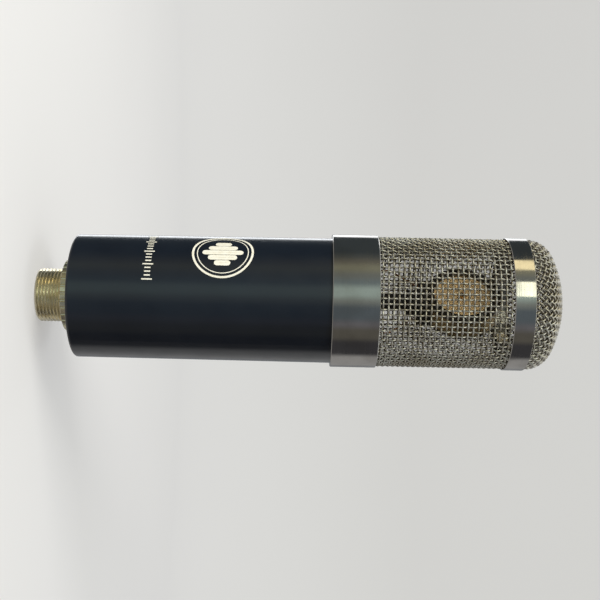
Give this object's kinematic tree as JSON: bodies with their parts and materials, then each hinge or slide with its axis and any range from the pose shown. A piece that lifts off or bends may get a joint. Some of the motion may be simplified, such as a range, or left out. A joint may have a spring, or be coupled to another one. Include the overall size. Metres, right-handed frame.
{
  "type": "large-diaphragm studio microphone",
  "caption": "Side-address studio microphone with a black tube body, polished collar, woven wire grille and a round gold-faced capsule.",
  "frame": {"origin": "centre of the connector's end face, at the free end of the threaded stub", "axes": "+Z along the microphone's axis towards the grille; -Y is the front, the side that is spoken to; +X completes a right-handed frame"},
  "size_m": [0.06, 0.06, 0.236],
  "materials": {
    "body_lacquer": "semi-gloss black lacquer with a faint blue cast",
    "nickel_polished": "polished nickel plate",
    "mesh_wire": "nickel-plated woven brass wire",
    "fine_mesh": "fine woven brass screen, darkened",
    "brass_threaded": "machined brass",
    "rubber": "matte black rubber",
    "insulator_plastic": "black moulded plastic",
    "insulator_white": "white fluoropolymer",
    "gold_contacts": "gold-plated",
    "screw_steel": "bright zinc plate",
    "switch_plate_finish": "satin black",
    "knob_plastic": "off-white moulded plastic",
    "switch_case_steel": "tinned steel",
    "circuit_board": "green solder mask",
    "chassis_aluminium": "machined, clear anodised",
    "capacitor_plastic": "red epoxy case",
    "capacitor_can": "sleeved can",
    "resistor_body": "blue lacquered film resistor",
    "core_steel": "stacked laminations",
    "winding_copper": "enamelled copper under tape",
    "wire_plastic": "insulated wire",
    "capsule_brass": "lapped brass",
    "capsule_ring": "black nickel plate on brass",
    "gold_membrane": "gold sputtered film",
    "lead_copper": "thin enamelled copper lead"
  },
  "bodies": {
    "microphone": {"body_tube": "body_lacquer", "collar_ring": "nickel_polished", "grille_mesh_cylinder": "mesh_wire", "fine_mesh_cylinder": "fine_mesh", "grille_band": "nickel_polished", "grille_mesh_dome": "mesh_wire", "fine_mesh_dome": "fine_mesh", "connector_housing": "brass_threaded", "lock_ring": "brass_threaded", "base_gasket": "rubber", "xlr_insulator": "insulator_plastic", "xlr_contacts": "gold_contacts", "insert_screw": "screw_steel", "switch_plate": "switch_plate_finish", "switch_plate_screws": "screw_steel", "voice_switch_case": "switch_case_steel", "lowcut_switch_case": "switch_case_steel", "pad_switch_case": "switch_case_steel", "switch_board": "circuit_board", "chassis_end_plate": "chassis_aluminium", "chassis_screws": "screw_steel", "chassis_rail_left": "chassis_aluminium", "chassis_rail_right": "chassis_aluminium", "head_plate": "chassis_aluminium", "head_plate_screws": "screw_steel", "front_circuit_board": "circuit_board", "rear_circuit_board": "circuit_board", "board_spacers": "insulator_plastic", "board_screws": "screw_steel", "film_capacitors": "capacitor_plastic", "electrolytic_capacitors": "capacitor_can", "resistors": "resistor_body", "input_transistor": "capacitor_can", "transformer_core": "core_steel", "transformer_winding": "winding_copper", "transformer_brackets": "chassis_aluminium", "output_wires": "wire_plastic", "capsule_spacer": "capsule_brass", "front_backplate": "capsule_brass", "rear_backplate": "capsule_brass", "front_membrane": "gold_membrane", "rear_membrane": "gold_membrane", "front_clamp_ring": "capsule_ring", "rear_clamp_ring": "capsule_ring", "front_ring_screws": "screw_steel", "rear_ring_screws": "screw_steel", "front_terminal": "capsule_brass", "rear_terminal": "capsule_brass", "capsule_post": "insulator_plastic", "capsule_damper": "rubber", "capsule_saddle": "insulator_plastic", "lead_posts": "insulator_white", "front_capsule_lead": "lead_copper", "rear_capsule_lead": "lead_copper"},
    "voice_switch": {"voice_switch_knob": "knob_plastic"},
    "lowcut_switch": {"lowcut_switch_knob": "knob_plastic"},
    "pad_switch": {"pad_switch_knob": "knob_plastic"}
  },
  "joints": [
    {"name": "voice_switch_slide", "type": "slide", "parent": "microphone", "child": "voice_switch", "axis": [1, 0, 0], "range_m": [0, 0.003]},
    {"name": "lowcut_switch_slide", "type": "slide", "parent": "microphone", "child": "lowcut_switch", "axis": [1, 0, 0], "range_m": [0, 0.003]},
    {"name": "pad_switch_slide", "type": "slide", "parent": "microphone", "child": "pad_switch", "axis": [1, 0, 0], "range_m": [0, 0.003]}
  ]
}
